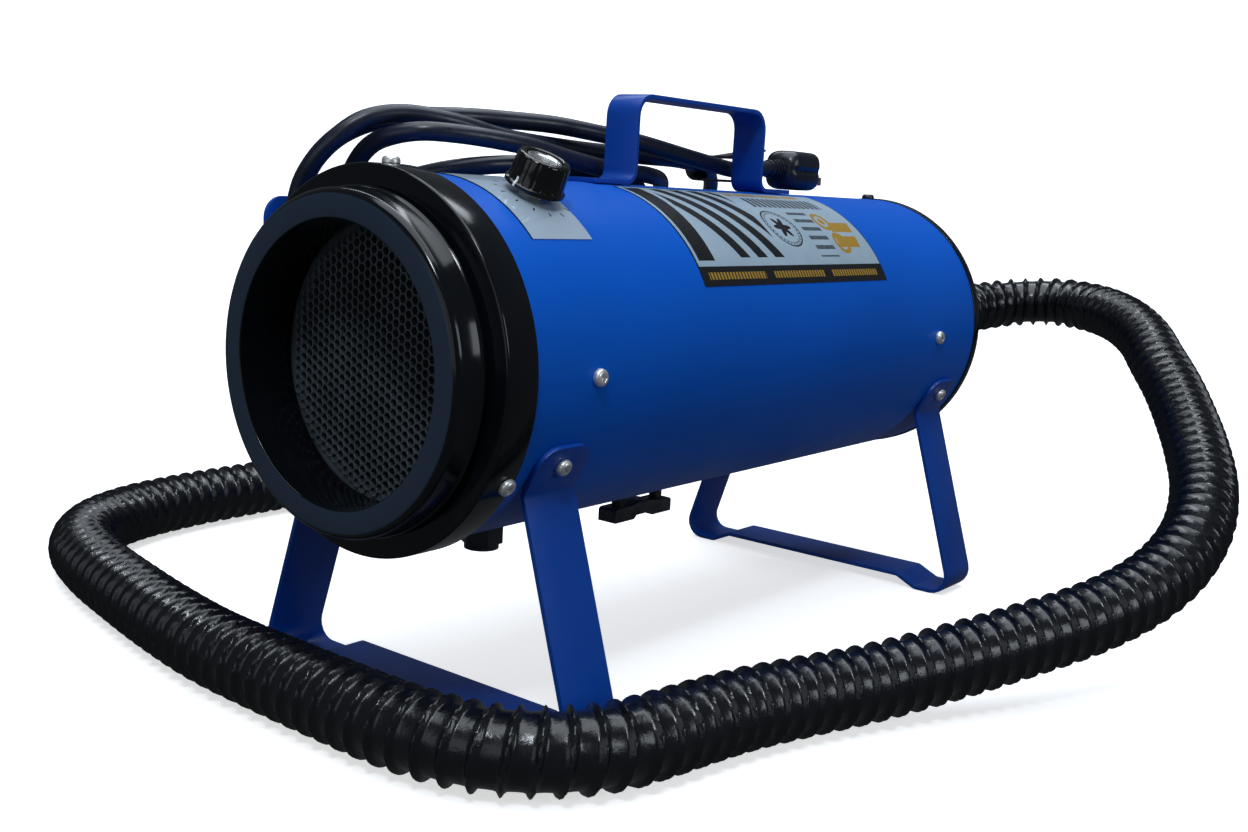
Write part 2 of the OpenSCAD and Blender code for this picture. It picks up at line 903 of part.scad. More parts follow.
plug_place = lead_route[len(lead_route) - 1];
plug_boot = 18;
plug_len = 38;

module at_plug() {
    translate([plug_place[0], st(plug_place[1]), plug_place[2]])
        rotate([-90, 0, 0])
            children();
}

module plug_body() {
    color("black")
        at_plug()
            union() {
                rotate_extrude()
                    polygon([[0, 0.2], [6.6, 0.2], [9.5, plug_boot + 0.5], [0, plug_boot + 0.5]]);
                translate([0, 0, plug_boot])
                    linear_extrude(plug_len)
                        polygon([
                            [-15, -1], [-12, -4], [-11.5, -9], [-7, -15], [7, -15], [11.5, -9],
                            [12, -4], [15, -1], [15, 11], [11.5, 15], [-11.5, 15], [-15, 11]]);
            }
}

module plug_pins() {
    color("silver")
        at_plug()
            translate([0, 0, plug_boot + plug_len]) {
                translate([0, -4.9, 0])
                    union() {
                        cylinder(r = 2.4, h = 19);
                        translate([0, 0, 19])
                            cylinder(r1 = 2.4, r2 = 1.4, h = 2);
                    }
                for (s = [-1, 1])
                    translate([s * 6.35 - 0.75, 7 - 3.15, 0])
                        cube([1.5, 6.3, 16]);
            }
}

// A flat outline with round ends between two centres along X.
module stadium(x1, x2, r) {
    translate([x1, -r])
        square([x2 - x1, 2 * r]);
    for (x = [x1, x2])
        translate([x, 0])
            circle(r = r);
}

module cord_tie() {
    length = 16;
    color("black")
        translate([0, st(398), 320.5])
            rotate([-90, 0, 0]) {
                linear_extrude(length)
                    difference() {
                        stadium(-57, -20, 9.6);
                        stadium(-57, -20, 7.8);
                    }
                translate([-46, -9.6, 2])
                    rotate([-82, 0, 0])
                        translate([0, -60, 0.5])
                            cube([12, 60, 1.6]);
            }
}

housing_tube();
intake_flange();
intake_nose();
intake_screen();
filter_foam();
flange_screws();
end_plate();
end_plate_screws();
outlet_spigot();
front_leg();
rear_leg();
leg_screws();
handle();
handle_screws();
control_plate();
side_label();
knob();
knob_disc();
control_shaft();
speed_control();
control_nut();
cord_hooks();
hook_screws();
breaker_body();
breaker_cap();
belly_clamp();
belly_clamp_studs();
front_mount_ring();
rear_mount_ring();
mount_screws();
mount_gaskets();
front_fan_housing();
front_motor_frame();
front_stator();
front_rotor();
front_impeller();
front_bearings();
front_brushes();
rear_fan_housing();
rear_motor_frame();
rear_stator();
rear_rotor();
rear_impeller();
rear_bearings();
rear_brushes();
hose_cuff();
hose();
nozzle();
strain_relief();
mains_lead();
plug_body();
plug_pins();
cord_tie();
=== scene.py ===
"""Looks of the pet dryer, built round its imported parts.

Shapes and stations are in millimetres, and are scaled to metres when a piece is made. Routes,
bump depths, the floor, the lights and the camera's place are in metres.
"""

import json
from math import atan2, cos, hypot, pi, radians, sin, sqrt

import bmesh
import bpy
from mathutils import Matrix, Vector


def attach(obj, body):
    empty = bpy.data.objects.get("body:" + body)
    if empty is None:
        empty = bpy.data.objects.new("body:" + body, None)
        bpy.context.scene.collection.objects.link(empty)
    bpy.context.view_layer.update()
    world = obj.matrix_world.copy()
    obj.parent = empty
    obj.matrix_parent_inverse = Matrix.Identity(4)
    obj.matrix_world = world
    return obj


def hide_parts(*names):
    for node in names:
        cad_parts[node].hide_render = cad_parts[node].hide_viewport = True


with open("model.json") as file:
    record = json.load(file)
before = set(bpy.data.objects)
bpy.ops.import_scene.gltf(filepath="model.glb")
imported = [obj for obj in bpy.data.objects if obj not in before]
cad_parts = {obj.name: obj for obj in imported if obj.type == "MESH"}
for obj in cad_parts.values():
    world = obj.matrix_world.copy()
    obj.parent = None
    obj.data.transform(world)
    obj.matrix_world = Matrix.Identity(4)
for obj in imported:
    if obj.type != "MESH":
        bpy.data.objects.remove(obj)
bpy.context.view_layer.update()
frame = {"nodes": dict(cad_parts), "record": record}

# ---- Sizes in millimetres. A station runs along Y from the intake face. ----

MM = 0.001
LENGTH = 630
AXIS_H = 203
TUBE_R = 101.5
BORE_R = 76
NOSE_R = 92
FLANGE_R = 105.3
FLANGE_AT = 21.4
FLANGE_END = 44.2
SCREEN_AT = 36
STRAP = 3
HOOK_T = 2.5
CELL_PITCH = 5.4
CELL_WALL = 1.15
KNOB_ANGLE = 66
KNOB_AT = 103.5
CUFF_AT = 590
CUFF_END = 700
GLAND = (197, 150)
HOSE_R = 23.25
HOSE_ROOT_R = 19.9
HOSE_PITCH = 13.4
LEAD_R = 5.75
END_PLATE_AT = 575.3

# Stations and angles of the screws
FLANGE_SCREWS_AT = 38
END_SCREWS_AT = 569
LEG_ANGLES = (-27, 207)
LEGS_AT = (79.5, 539)
HOOK_ANGLE = 189
HOOKS_AT = (70, 262)
MOUNTS_AT = (96, 510)

# Stations and angles that the two printed sheets cover
PLATE = {"y1": 70, "y2": 119, "a1": 44, "a2": 92}
LABEL = {"y1": 205, "y2": 436, "a1": 26, "a2": 80}

# Sides of the finest turned rings, and of the plug
INTAKE_SIDES = 224
END_PLATE_SIDES = 192
PLUG_SIDES = 64

# How CAD edges are found and rounded: metres, then radians
WELD = 1e-6
FLAT_BELOW = radians(0.5)
SHARP_ABOVE = radians(30)

# ---- Camera and colours ----

CAMERA_AT = (0.5473, -0.7780, 0.3028)
CAMERA_YAW, CAMERA_PITCH, CAMERA_ROLL = 0.6530, 0.1659, 0.0575
SENSOR_MM = 36
LENS_MM = 39.36
DAYLIGHT = (0.86, 0.93, 1.0)
# Painted reflection: the slate blue laid on the nose's faces that look out of the intake, for the sheen
# they mirror
PAINTED_SHEEN_SLATE = (0.021, 0.037, 0.064, 1)
TICK_INK = (0.03, 0.035, 0.06, 1)
LABEL_INK = (0.008, 0.009, 0.012, 1)
LABEL_GOLD = (0.42, 0.25, 0.035, 1)

# ---- Routes, in metres ----

# Middle of the hose, from the cuff to the nozzle
HOSE_ROUTE = [
    (0.0, 0.385, 0.203), (0.0, 0.43, 0.203), (0.006, 0.474, 0.207), (0.029, 0.51, 0.213),
    (0.067, 0.526, 0.217), (0.109, 0.517, 0.215), (0.147, 0.486, 0.209), (0.179, 0.447, 0.198),
    (0.204, 0.407, 0.184), (0.23, 0.369, 0.167), (0.254, 0.327, 0.15), (0.277, 0.28, 0.134),
    (0.297, 0.233, 0.116), (0.308, 0.189, 0.097), (0.308, 0.149, 0.079), (0.299, 0.109, 0.064),
    (0.282, 0.066, 0.052), (0.258, 0.02, 0.042), (0.232, -0.029, 0.033), (0.207, -0.077, 0.026),
    (0.187, -0.123, 0.024), (0.174, -0.163, 0.024), (0.167, -0.195, 0.024),
    (0.162, -0.223, 0.024), (0.155, -0.253, 0.024), (0.14, -0.28, 0.024), (0.116, -0.301, 0.024),
    (0.086, -0.312, 0.024), (0.052, -0.316, 0.024), (0.008, -0.316, 0.024),
    (-0.042, -0.315, 0.024), (-0.102, -0.312, 0.024), (-0.165, -0.302, 0.024),
    (-0.23, -0.288, 0.024), (-0.29, -0.273, 0.024), (-0.341, -0.253, 0.024),
    (-0.38, -0.22, 0.024), (-0.404, -0.175, 0.024), (-0.415, -0.12, 0.024),
    (-0.418, -0.065, 0.024), (-0.418, 0.035, 0.024), (-0.416, 0.135, 0.024),
    (-0.412, 0.235, 0.024), (-0.41, 0.325, 0.024), (-0.41, 0.415, 0.024),
]
# Middle of the mains lead, from its strain relief to the plug
LEAD_ROUTE = [
    (-0.1282, -0.165, 0.1638), (-0.15, -0.165, 0.1572), (-0.172, -0.168, 0.157),
    (-0.19, -0.174, 0.167), (-0.2, -0.181, 0.184), (-0.2, -0.187, 0.205),
    (-0.192, -0.192, 0.225), (-0.178, -0.195, 0.243), (-0.161, -0.197, 0.259),
    (-0.142, -0.197, 0.273), (-0.122, -0.196, 0.285), (-0.101, -0.193, 0.294),
    (-0.08, -0.187, 0.301), (-0.06, -0.177, 0.307), (-0.045, -0.16, 0.311),
    (-0.037, -0.137, 0.313), (-0.036, -0.11, 0.313), (-0.036, -0.08, 0.311),
    (-0.04, -0.035, 0.309), (-0.052, 0.007, 0.302), (-0.073, 0.03, 0.286),
    (-0.096, 0.035, 0.263), (-0.11, 0.021, 0.243), (-0.111, -0.007, 0.23),
    (-0.109, -0.053, 0.227), (-0.109, -0.165, 0.227), (-0.11, -0.191, 0.234),
    (-0.111, -0.206, 0.252), (-0.109, -0.213, 0.272), (-0.105, -0.216, 0.292),
    (-0.097, -0.217, 0.3075), (-0.083, -0.217, 0.3195), (-0.066, -0.215, 0.3255),
    (-0.051, -0.207, 0.3285), (-0.04, -0.191, 0.3285), (-0.031, -0.17, 0.327),
    (-0.025, -0.141, 0.324), (-0.022, -0.103, 0.318), (-0.022, -0.059, 0.313),
    (-0.03, -0.013, 0.312), (-0.046, 0.025, 0.308), (-0.07, 0.051, 0.294),
    (-0.096, 0.057, 0.268), (-0.111, 0.039, 0.239), (-0.109, 0.003, 0.218),
    (-0.108, -0.053, 0.214), (-0.108, -0.165, 0.214), (-0.109, -0.203, 0.217),
    (-0.112, -0.226, 0.229), (-0.114, -0.241, 0.248), (-0.114, -0.248, 0.27),
    (-0.11, -0.248, 0.292), (-0.099, -0.246, 0.309), (-0.088, -0.239, 0.3225),
    (-0.079, -0.225, 0.334), (-0.069, -0.204, 0.3385), (-0.056, -0.177, 0.336),
    (-0.048, -0.138, 0.329), (-0.048, -0.075, 0.326), (-0.05, 0.005, 0.325),
    (-0.051, 0.061, 0.324), (-0.06, 0.105, 0.317), (-0.078, 0.133, 0.299), (-0.1, 0.14, 0.272),
    (-0.117, 0.122, 0.245), (-0.122, 0.085, 0.225), (-0.121, 0.025, 0.215),
    (-0.12, -0.053, 0.214), (-0.12, -0.165, 0.214), (-0.12, -0.197, 0.22),
    (-0.12, -0.218, 0.236), (-0.12, -0.232, 0.258), (-0.12, -0.239, 0.28),
    (-0.117, -0.236, 0.302), (-0.107, -0.225, 0.321), (-0.092, -0.209, 0.333),
    (-0.077, -0.187, 0.338), (-0.064, -0.16, 0.34), (-0.056, -0.127, 0.3405),
    (-0.046, -0.095, 0.34), (-0.036, -0.063, 0.337), (-0.028, -0.025, 0.333),
    (-0.022, 0.025, 0.326), (-0.02, 0.077, 0.32), (-0.02, 0.101, 0.3205), (-0.02, 0.125, 0.323),
]


# ---- Placing ----


def station(y):
    """The place along Y, in millimetres, of a station."""
    return y - LENGTH / 2


def on_axis(y):
    """Puts local Z along the housing's axis, with its start at a station."""
    turn = Matrix(((1, 0, 0), (0, 0, 1), (0, -1, 0))).to_4x4()
    return Matrix.Translation((0, station(y), AXIS_H)) @ turn


def out_of(angle, y, r=0):
    """Puts local Z outwards at an angle round the housing and a station, and local Y along +Y."""
    a = radians(angle)
    turn = Matrix(((sin(a), 0, cos(a)), (0, 1, 0), (-cos(a), 0, sin(a)))).to_4x4()
    return Matrix.Translation((r * cos(a), station(y), AXIS_H + r * sin(a))) @ turn


# ---- Building meshes ----


def add(name, verts, faces, slot, nodes=(), body="housing", place=None, crease=35):
    """Makes a piece from millimetre points, puts it in place, and hides the CAD nodes it stands for."""
    mesh = bpy.data.meshes.new(name)
    mesh.from_pydata([Vector(v) for v in verts], [], faces)
    if place is not None:
        mesh.transform(place)
    mesh.transform(Matrix.Scale(MM, 4))
    return finish_piece(name, mesh, slot, nodes, body, crease)


def finish_piece(name, mesh, slot, nodes, body, crease):
    """Turns faces outwards, shades them, gives the piece its finish and body, and hides the CAD nodes it
    stands for.
    """
    shape = bmesh.new()
    shape.from_mesh(mesh)
    bmesh.ops.recalc_face_normals(shape, faces=shape.faces)
    shape.to_mesh(mesh)
    shape.free()
    mesh.polygons.foreach_set("use_smooth", [True] * len(mesh.polygons))
    mesh.set_sharp_from_angle(angle=radians(crease))
    piece = bpy.data.objects.new(name, mesh)
    bpy.context.scene.collection.objects.link(piece)
    mesh.materials.append(material_for(slot))
    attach(piece, body)
    if nodes:
        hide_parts(*nodes)
    return piece


def joined(parts):
    """Joins (points, faces) pairs into one pair."""
    verts, faces = [], []
    for points, polygons in parts:
        faces += [[i + len(verts) for i in f] for f in polygons]
        verts += points
    return verts, faces


def moved(part, place):
    """Puts a (points, faces) pair in place."""
    points, polygons = part
    return [place @ Vector(p) for p in points], polygons


def rings_to_faces(rows, columns, closed=False):
    """Quads of a grid of rings, joined end to end if closed."""
    last = rows if closed else rows - 1
    faces = []
    for i in range(last):
        for k in range(columns):
            a, b = i * columns, (i + 1) % rows * columns
            n = (k + 1) % columns
            faces.append([a + k, a + n, b + n, b + k])
    return faces


def capped_rings(rows, columns):
    """Quads of a grid of rings, with one flat face over each end."""
    faces = rings_to_faces(rows, columns)
    faces.append([columns - 1 - k for k in range(columns)])
    faces.append([(rows - 1) * columns + k for k in range(columns)])
    return faces


def revolve(outline, sides=128):
    """Turns a closed outline of (radius, height) round local Z."""
    points = [
        (r * cos(2 * pi * k / sides), r * sin(2 * pi * k / sides), z)
        for r, z in outline
        for k in range(sides)
    ]
    return points, rings_to_faces(len(outline), sides, closed=True)


def turned(outline, sides=128):
    """Turns an open outline that starts and ends on the axis round local Z."""
    points, _ = revolve(outline[1:-1], sides)
    faces = rings_to_faces(len(outline) - 2, sides)
    low, high = len(points), len(points) + 1
    top = (len(outline) - 3) * sides
    for k in range(sides):
        n = (k + 1) % sides
        faces.append([low, n, k])
        faces.append([high, top + k, top + n])
    return points + [(0, 0, outline[0][1]), (0, 0, outline[-1][1])], faces


def arc(r, z, size, start, end, steps=8):
    """Points of a round corner about (r, z), from one angle to another in degrees."""
    angles = [radians(start + (end - start) * i / steps) for i in range(steps + 1)]
    return [(r + size * cos(a), z + size * sin(a)) for a in angles]


def soften(node, slot, width=0.4, body="housing", crease=40):
    """Replaces a CAD node by a copy whose sharp edges are rounded by a width in millimetres."""
    source = frame["nodes"][node].data
    shape = bmesh.new()
    points = [shape.verts.new(v.co) for v in source.vertices]
    for p in source.polygons:
        if len(set(p.vertices)) > 2:
            shape.faces.new([points[i] for i in p.vertices])
    bmesh.ops.remove_doubles(shape, verts=shape.verts, dist=WELD)
    bmesh.ops.dissolve_limit(shape, angle_limit=FLAT_BELOW, verts=shape.verts, edges=shape.edges)
    sharp = [e for e in shape.edges if e.is_manifold and e.calc_face_angle(0) > SHARP_ABOVE]
    bmesh.ops.bevel(
        shape,
        geom=sharp,
        offset=width * MM,
        segments=2,
        profile=0.6,
        affect="EDGES",
        clamp_overlap=True,
    )
    bmesh.ops.triangulate(shape, faces=[f for f in shape.faces if len(f.verts) > 4])
    mesh = bpy.data.meshes.new(node + "_look")
    shape.to_mesh(mesh)
    shape.free()
    return finish_piece(node + "_look", mesh, slot, [node], body, crease)


# ---- Routes ----


def smooth_route(route, step):
    """Even points, a step apart, on one smooth curve through a route's points."""
    knots = [Vector(p) for p in route]
    ends = [2 * knots[0] - knots[1]] + knots + [2 * knots[-1] - knots[-2]]
    dense, per_knot = [], 24
    for a, b, c, d in zip(ends, ends[1:], ends[2:], ends[3:]):
        for i in range(per_knot):
            t = i / per_knot
            dense.append(
                0.5
                * (
                    2 * b
                    + (c - a) * t
                    + (2 * a - 5 * b + 4 * c - d) * t * t
                    + (3 * b - a - 3 * c + d) * t**3
                )
            )
    dense.append(knots[-1])
    lengths = [0]
    for a, b in zip(dense, dense[1:]):
        lengths.append(lengths[-1] + (b - a).length)
    count = round(lengths[-1] / step)
    points, j = [], 0
    for i in range(count + 1):
        want = lengths[-1] * i / count
        while j < len(dense) - 2 and lengths[j + 1] < want:
            j += 1
        part = (want - lengths[j]) / (lengths[j + 1] - lengths[j])
        points.append(dense[j].lerp(dense[j + 1], part))
    return points, lengths[-1]


def carried_frames(points):
    """For each point the direction of the route and two directions across it, without twist."""
    last = len(points) - 1
    across = Vector((0.2, 0.3, 1))
    out = []
    for i, p in enumerate(points):
        along = (points[min(i + 1, last)] - points[max(i - 1, 0)]).normalized()
        across = (across - along * across.dot(along)).normalized()
        out.append((p, across, along.cross(across)))
    return out


def ridge(turns):
    """Radius of the hose, in millimetres, at a number of turns of its helix."""
    half = 2.7
    off = abs(turns - round(turns)) * HOSE_PITCH
    if off > half:
        return HOSE_ROOT_R - 0.2 * sin(pi * (off - half) / (HOSE_PITCH - 2 * half))
    rise = 0.5 + 0.5 * cos(pi * off / half)
    return HOSE_ROOT_R + (HOSE_R - HOSE_ROOT_R) * rise**1.15


def corrugated(route, sides=40, samples=14):
    """A hose whose one ridge winds round it from end to end."""
    step = HOSE_PITCH * MM / samples
    line, length = smooth_route(route, step)
    frames = carried_frames(line)
    verts = []
    for i, (p, u, v) in enumerate(frames):
        for k in range(sides):
            a = 2 * pi * k / sides
            r = ridge(i / samples + k / sides) * MM
            verts.append((p + r * (cos(a) * u + sin(a) * v)) / MM)
    return verts, capped_rings(len(frames), sides), line, length


def plain_cord(route, r, sides=20, step=0.004):
    """A round cord with flat ends."""
    line, length = smooth_route(route, step)
    verts = []
    for p, u, v in carried_frames(line):
        for k in range(sides):
            a = 2 * pi * k / sides
            verts.append(p / MM + r * (cos(a) * u + sin(a) * v))
    return verts, capped_rings(len(line), sides), line, length


def at_end(route):
    """Puts local Z along +Y, from the last point of a route."""
    x, y, z = route[-1]
    return Matrix.Translation((x / MM, y / MM, z / MM)) @ on_axis(0).to_3x3().to_4x4()


# ---- Materials ----


class Tree:
    """A material's nodes, with short ways to add the ones used here."""

    def __init__(self, name):
        self.material = bpy.data.materials.new(name)
        self.material.use_nodes = True
        self.nodes = self.material.node_tree.nodes
        self.links = self.material.node_tree.links
        self.shader = self.nodes["Principled BSDF"]
        self.place = self.nodes.new("ShaderNodeTexCoord")

    def link(self, value, socket):
        if isinstance(value, bpy.types.NodeSocket):
            self.links.new(value, socket)
        else:
            socket.default_value = value

    def calc(self, operation, *values):
        node = self.nodes.new("ShaderNodeMath")
        node.operation = operation
        for value, socket in zip(values, node.inputs):
            self.link(value, socket)
        return node.outputs[0]

    def noise(self, scale, detail=3, roughness=0.55):
        node = self.nodes.new("ShaderNodeTexNoise")
        node.inputs["Scale"].default_value = scale
        node.inputs["Detail"].default_value = detail
        node.inputs["Roughness"].default_value = roughness
        self.links.new(self.place.outputs["Object"], node.inputs["Vector"])
        return node.outputs["Fac"]

    def between(self, value, low, high, start=0.3, end=0.7):
        node = self.nodes.new("ShaderNodeMapRange")
        self.link(value, node.inputs["Value"])
        node.inputs["From Min"].default_value = start
        node.inputs["From Max"].default_value = end
        node.inputs["To Min"].default_value = low
        node.inputs["To Max"].default_value = high
        return node.outputs[0]

    def blend(self, factor, a, b):
        node = self.nodes.new("ShaderNodeMix")
        node.data_type = "RGBA"
        self.link(factor, node.inputs["Factor"])
        self.link(a, node.inputs["A"])
        self.link(b, node.inputs["B"])
        return node.outputs["Result"]

    def bump(self, height, strength, depth, under=None):
        node = self.nodes.new("ShaderNodeBump")
        node.inputs["Strength"].default_value = strength
        node.inputs["Distance"].default_value = depth
        self.link(height, node.inputs["Height"])
        if under is not None:
            self.links.new(under, node.inputs["Normal"])
        return node.outputs["Normal"]

    def window(self, value, low, high):
        """1 where a value is between two limits, and 0 elsewhere."""
        above = self.calc("GREATER_THAN", value, low)
        below = self.calc("LESS_THAN", value, high)
        return self.calc("MULTIPLY", above, below)

    def both(self, *masks):
        result = masks[0]
        for mask in masks[1:]:
            result = self.calc("MULTIPLY", result, mask)
        return result

    def either(self, *masks):
        result = masks[0]
        for mask in masks[1:]:
            result = self.calc("MAXIMUM", result, mask)
        return result

    def paint(self, mask, colour):
        """Lays a colour over the base colour where a mask is 1."""
        base = self.shader.inputs["Base Color"].links[0].from_socket
        self.links.new(self.blend(mask, base, colour), self.shader.inputs["Base Color"])


def shade(colour, factor):
    """A lighter or darker tone of a colour."""
    return [min(1, c * factor) for c in colour[:3]] + [1]


def surface(
    name,
    colour,
    rough,
    metal=0,
    coat=0,
    coat_rough=0.1,
    patches=(14, 0.12),
    grain=(900, 0.15, 0.00004),
    swing=0.06,
):
    """A finish whose colour and roughness drift in patches and whose surface has a fine grain."""
    t = Tree(name)
    drift = t.noise(patches[0], 4)
    t.links.new(
        t.blend(t.between(drift, 0, 1), shade(colour, 1 - patches[1]), shade(colour, 1 + patches[1])),
        t.shader.inputs["Base Color"],
    )
    wear = t.noise(patches[0] * 5, 5, 0.65)
    t.links.new(t.between(wear, rough - swing, rough + swing), t.shader.inputs["Roughness"])
    normal = t.bump(t.noise(grain[0], 2), grain[1], grain[2])
    t.links.new(normal, t.shader.inputs["Normal"])
    t.shader.inputs["Metallic"].default_value = metal
    t.shader.inputs["Coat Weight"].default_value = coat
    t.shader.inputs["Coat Roughness"].default_value = coat_rough
    return t


def blue_paint():
    t = surface("blue_paint", (0.0015, 0.1, 0.56), 0.38, coat=0.02, coat_rough=0.16,
                patches=(6, 0.07), grain=(700, 0.12, 0.00005), swing=0.05)
    t.shader.inputs["Specular IOR Level"].default_value = 0.12
    return t


def strap_paint():
    t = surface("strap_paint", (0.002, 0.06, 0.38), 0.36, coat=0.06, coat_rough=0.2,
                patches=(9, 0.1), grain=(800, 0.15, 0.00005), swing=0.06)
    t.shader.inputs["Specular IOR Level"].default_value = 0.36
    return t


def black_trim(name="black_trim"):
    t = surface(name, (0.003, 0.004, 0.006), 0.13, coat=0.04, coat_rough=0.1,
                patches=(16, 0.2), grain=(1500, 0.1, 0.00003), swing=0.03)
    t.shader.inputs["Specular IOR Level"].default_value = 0.32
    return t


def nose_trim():
    """Gloss black on turned sides; where a face looks out of the intake, a painted reflection in slate
    blue over the black, and a satin roughness.
    """
    t = black_trim("nose_trim")
    parts = t.nodes.new("ShaderNodeSeparateXYZ")
    t.links.new(t.place.outputs["Normal"], parts.inputs[0])
    # Painted reflection: faces that look out of the intake are coloured slate for the sheen they mirror;
    # their satin roughness is real
    faces_out = t.between(parts.outputs[1], 1, 0, -0.99, -0.93)
    t.paint(faces_out, PAINTED_SHEEN_SLATE)
    rough = t.shader.inputs["Roughness"].links[0].from_socket
    satin = t.calc("MULTIPLY", faces_out, 0.34)
    t.links.new(t.calc("MAXIMUM", rough, satin), t.shader.inputs["Roughness"])
    return t


def screen_black():
    return surface("screen_black", (0.05, 0.062, 0.074), 0.42,
                   patches=(40, 0.3), grain=(2000, 0.2, 0.00004), swing=0.1)


def foam():
    return surface("foam", (0.006, 0.006, 0.007), 0.95, patches=(250, 0.5), grain=(600, 1.0, 0.0008))


def bright_steel():
    return surface("bright_steel", (0.8, 0.8, 0.78), 0.36, metal=0.75,
                   patches=(120, 0.15), grain=(2500, 0.2, 0.00003), swing=0.1)


def dark_steel():
    return surface("dark_steel", (0.06, 0.065, 0.07), 0.35, metal=1,
                   patches=(120, 0.3), grain=(2500, 0.3, 0.00004), swing=0.1)


def knob_black():
    return surface("knob_black", (0.002, 0.002, 0.0025), 0.16, coat=0.1, coat_rough=0.05,
                   patches=(60, 0.2), grain=(1800, 0.08, 0.00002), swing=0.05)


def knob_silver():
    """Turned aluminium: fine rings round the knob's own axis."""
    t = surface("knob_silver", (0.72, 0.73, 0.74), 0.22, metal=1, patches=(200, 0.1), swing=0.06)
    rings = t.nodes.new("ShaderNodeTexWave")
    rings.wave_type = "RINGS"
    rings.rings_direction = "Z"
    rings.inputs["Scale"].default_value = 900
    rings.inputs["Distortion"].default_value = 0.6
    spin = t.nodes.new("ShaderNodeUVMap")
    t.links.new(spin.outputs["UV"], rings.inputs["Vector"])
    t.links.new(t.bump(rings.outputs["Fac"], 0.35, 0.00003), t.shader.inputs["Normal"])
    return t


def marks_white():
    return surface("marks_white", (0.8, 0.8, 0.78), 0.4, patches=(200, 0.08))


def dark_plastic():
    return surface("dark_plastic", (0.012, 0.013, 0.019), 0.4, patches=(60, 0.25),
                   grain=(1600, 0.3, 0.00005))


def clamp_grey():
    return surface("clamp_grey", (0.055, 0.06, 0.068), 0.45, metal=0.7, patches=(90, 0.45),
                   grain=(500, 0.6, 0.0003), swing=0.15)


def cast_grey():
    return surface("cast_grey", (0.35, 0.35, 0.36), 0.5, metal=1, patches=(50, 0.2),
                   grain=(700, 0.5, 0.0002))


def steel():
    return surface("steel", (0.5, 0.5, 0.5), 0.35, metal=1, patches=(60, 0.15),
                   grain=(1200, 0.2, 0.00005))


def alloy():
    return surface("alloy", (0.68, 0.68, 0.69), 0.3, metal=1, patches=(60, 0.1),
                   grain=(1200, 0.2, 0.00005))


def gasket_rubber():
    return surface("gasket_rubber", (0.02, 0.02, 0.02), 0.7, patches=(80, 0.2),
                   grain=(900, 0.4, 0.0001))


def carbon():
    return surface("carbon", (0.03, 0.03, 0.03), 0.6, patches=(150, 0.3), grain=(1500, 0.4, 0.0001))


def cuff_rubber():
    return surface("cuff_rubber", (0.009, 0.01, 0.013), 0.33, patches=(45, 0.3),
                   grain=(260, 0.35, 0.0005), swing=0.1)


def hose_vinyl():
    """Glossy vinyl with the fine puckers that winding leaves in it."""
    t = surface("hose_vinyl", (0.0045, 0.0053, 0.0078), 0.24, coat=0.16, coat_rough=0.12,
                patches=(30, 0.25), grain=(1500, 0.12, 0.00003), swing=0.07)
    puckers = t.bump(t.noise(190, 4, 0.6), 0.45, 0.0009)
    fine = t.bump(t.noise(900, 2), 0.12, 0.00008, puckers)
    t.links.new(fine, t.shader.inputs["Normal"])
    t.links.new(puckers, t.shader.inputs["Coat Normal"])
    return t


def nozzle_black():
    return surface("nozzle_black", (0.014, 0.014, 0.016), 0.42, patches=(50, 0.2),
                   grain=(1800, 0.3, 0.00005))


def lead_rubber():
    return surface("lead_rubber", (0.0075, 0.011, 0.026), 0.33, patches=(30, 0.3),
                   grain=(420, 0.1, 0.00008), swing=0.08)


def plug_black():
    return surface("plug_black", (0.007, 0.009, 0.018), 0.3, patches=(60, 0.25),
                   grain=(1300, 0.25, 0.00006), swing=0.1)


def pin_metal():
    return surface("pin_metal", (0.6, 0.52, 0.34), 0.3, metal=1, patches=(150, 0.2),
                   grain=(2200, 0.2, 0.00004))


def tie_black():
    """Woven tape: two sets of threads crossing."""
    t = surface("tie_black", (0.008, 0.009, 0.014), 0.75, patches=(80, 0.3))
    heights = []
    for direction in ("X", "Y"):
        threads = t.nodes.new("ShaderNodeTexWave")
        threads.bands_direction = direction
        threads.inputs["Scale"].default_value = 380
        t.links.new(t.place.outputs["Object"], threads.inputs["Vector"])
        heights.append(threads.outputs["Fac"])
    t.links.new(t.bump(t.either(*heights), 0.8, 0.0002), t.shader.inputs["Normal"])
    return t


def surface_place(t):
    """The two coordinates, in millimetres, that a printed surface carries in its UV map."""
    spin = t.nodes.new("ShaderNodeUVMap")
    parts = t.nodes.new("ShaderNodeSeparateXYZ")
    t.links.new(spin.outputs["UV"], parts.inputs[0])
    return parts.outputs[0], parts.outputs[1]


def polar(t, u, v, centre):
    """Distance from a centre and turns round it."""
    x = t.calc("SUBTRACT", u, centre[0])
    y = t.calc("SUBTRACT", v, centre[1])
    far = t.calc("SQRT", t.calc("ADD", t.calc("MULTIPLY", x, x), t.calc("MULTIPLY", y, y)))
    turns = t.calc("DIVIDE", t.calc("ARCTAN2", y, x), 2 * pi)
    return far, turns


def repeat(t, value, pitch, part):
    """1 in the first part of each pitch."""
    return t.calc("LESS_THAN", t.calc("FRACT", t.calc("DIVIDE", value, pitch)), part)


def plate_white():
    """A pale plate with plain dial ticks round the knob."""
    t = surface("plate_white", (0.62, 0.76, 0.92), 0.1, metal=0.45, patches=(30, 0.05),
                grain=(900, 0.04, 0.00001), swing=0.03)
    u, v = surface_place(t)
    far, turns = polar(t, u, v, (KNOB_AT - PLATE["y1"], radians(KNOB_ANGLE - PLATE["a1"]) * TUBE_R))
    ticks = t.both(t.window(far, 19.6, 22.6), repeat(t, t.calc("ADD", turns, 0.519), 1 / 13, 0.1))
    edge = t.calc("LESS_THAN", u, 0.5)
    t.paint(t.either(ticks, edge), TICK_INK)
    return t


